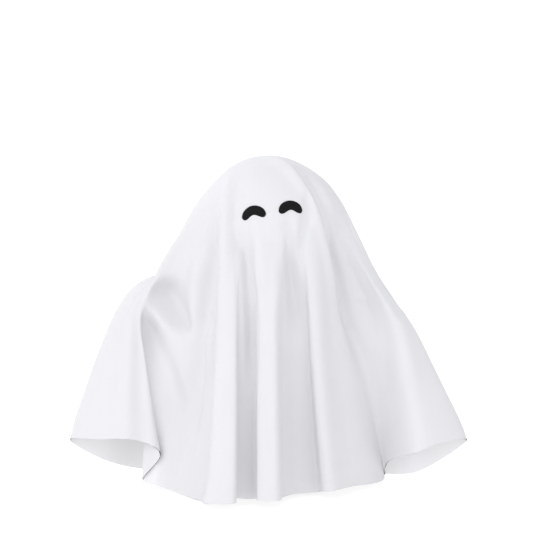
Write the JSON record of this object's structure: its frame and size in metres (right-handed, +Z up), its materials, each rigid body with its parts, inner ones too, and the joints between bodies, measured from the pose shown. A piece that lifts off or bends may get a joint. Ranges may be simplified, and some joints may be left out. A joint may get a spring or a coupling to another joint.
{
  "type": "animated ghost figure",
  "caption": "Table-top ghost figure: a white draped sheet with crescent eyes over a round head and arms that a geared motor raises and lowers while the head tilts.",
  "frame": {"origin": "on the table, under the middle of the figure's box", "axes": "+Z up, the face towards -Y, the viewer's right is +X"},
  "size_m": [0.3379, 0.2219, 0.2836],
  "materials": {
    "sheet_cloth": "soft white knit",
    "eye_felt": "black padded stitching",
    "dark_plastic": "fine moulded grain",
    "grey_plastic": "fine moulded grain",
    "white_plastic": "satin",
    "cream_plastic": "satin gear plastic",
    "red_plastic": "gloss",
    "black_plastic": "satin",
    "hand_foam": "white foam",
    "rubber": "matt",
    "steel": "zinc plated",
    "ballast_iron": "rough grey",
    "motor_metal": "zinc plated",
    "cell_label": "plain green sleeve",
    "brass": "bright",
    "board_green": "solder mask",
    "lead_red": "soft sleeve"
  },
  "bodies": {
    "stand": {"sheet": "sheet_cloth", "base_housing": "dark_plastic", "base_cover": "dark_plastic", "front_spine_plate": "grey_plastic", "rear_spine_plate": "grey_plastic", "motor_end_bell": "cream_plastic", "board_components": "black_plastic", "rubber_feet": "rubber", "stop_sleeves": "rubber", "lead_grommet": "rubber", "cover_screws": "steel", "battery_contacts": "steel", "board_screws": "steel", "switch_body": "steel", "button_spring": "steel", "plate_screws": "steel", "spacer_posts": "steel", "shoulder_pins": "steel", "head_pin": "steel", "wheel_pin": "steel", "pivot_clips": "steel", "motor_screws": "steel", "ballast_plate": "ballast_iron", "motor_can": "motor_metal", "battery_cells": "cell_label", "motor_terminals": "brass", "circuit_board": "board_green", "motor_leads": "lead_red"},
    "left_arm": {"left_arm_lever": "cream_plastic", "left_arm_rod": "steel", "left_hand": "hand_foam"},
    "right_arm": {"right_arm_lever": "cream_plastic", "right_arm_rod": "steel", "right_hand": "hand_foam"},
    "head": {"head_gear": "cream_plastic", "head_dome": "white_plastic", "dome_screws": "steel", "left_eye": "eye_felt", "right_eye": "eye_felt"},
    "drive_wheel": {"drive_wheel": "cream_plastic"},
    "motor_rotor": {"motor_shaft": "steel", "motor_gear": "brass"},
    "switch_knob": {"switch_knob": "black_plastic"},
    "push_button": {"push_button": "red_plastic"},
    "battery_door": {"battery_door": "dark_plastic"}
  },
  "joints": [
    {"name": "left_arm_lift", "type": "hinge", "parent": "stand", "child": "left_arm", "pos_m": [-0.03, 0, 0.153], "axis": [0, 1, 0], "range_deg": [0, 22], "deforming": ["sheet"]},
    {"name": "right_arm_lift", "type": "hinge", "parent": "stand", "child": "right_arm", "pos_m": [0.03, 0, 0.153], "axis": [0, 1, 0], "range_deg": [-22, 0], "deforming": ["sheet"]},
    {"name": "head_tilt", "type": "hinge", "parent": "stand", "child": "head", "pos_m": [0, 0, 0.22662], "axis": [0, 1, 0], "range_deg": [0, 13.34], "deforming": ["sheet"]},
    {"name": "drive_wheel_turn", "type": "hinge", "parent": "stand", "child": "drive_wheel", "pos_m": [-0.00242, 0, 0.12542], "axis": [0, 1, 0], "range_deg": [-73.34, 0]},
    {"name": "motor_turn", "type": "hinge", "parent": "stand", "child": "motor_rotor", "pos_m": [-0.00242, 0, 0.10042], "axis": [0, 1, 0], "range_deg": [0, 293.4]},
    {"name": "switch_slide", "type": "slide", "parent": "stand", "child": "switch_knob", "axis": [1, 0, 0], "range_m": [0, 0.004]},
    {"name": "button_press", "type": "slide", "parent": "stand", "child": "push_button", "axis": [0, 0, -1], "range_m": [0, 0.0025], "stiffness_N_per_m": 300, "springref_m": -0.002, "deforming": ["button_spring"]},
    {"name": "battery_door_slide", "type": "slide", "parent": "stand", "child": "battery_door", "axis": [0, 1, 0], "range_m": [0, 0.047]}
  ],
  "couplings": [
    {"joint": "right_arm_lift", "follows": "left_arm_lift", "ratio": -1},
    {"joint": "head_tilt", "follows": "left_arm_lift", "ratio": 0.60606},
    {"joint": "drive_wheel_turn", "follows": "left_arm_lift", "ratio": -3.3333},
    {"joint": "motor_turn", "follows": "left_arm_lift", "ratio": 13.333}
  ]
}
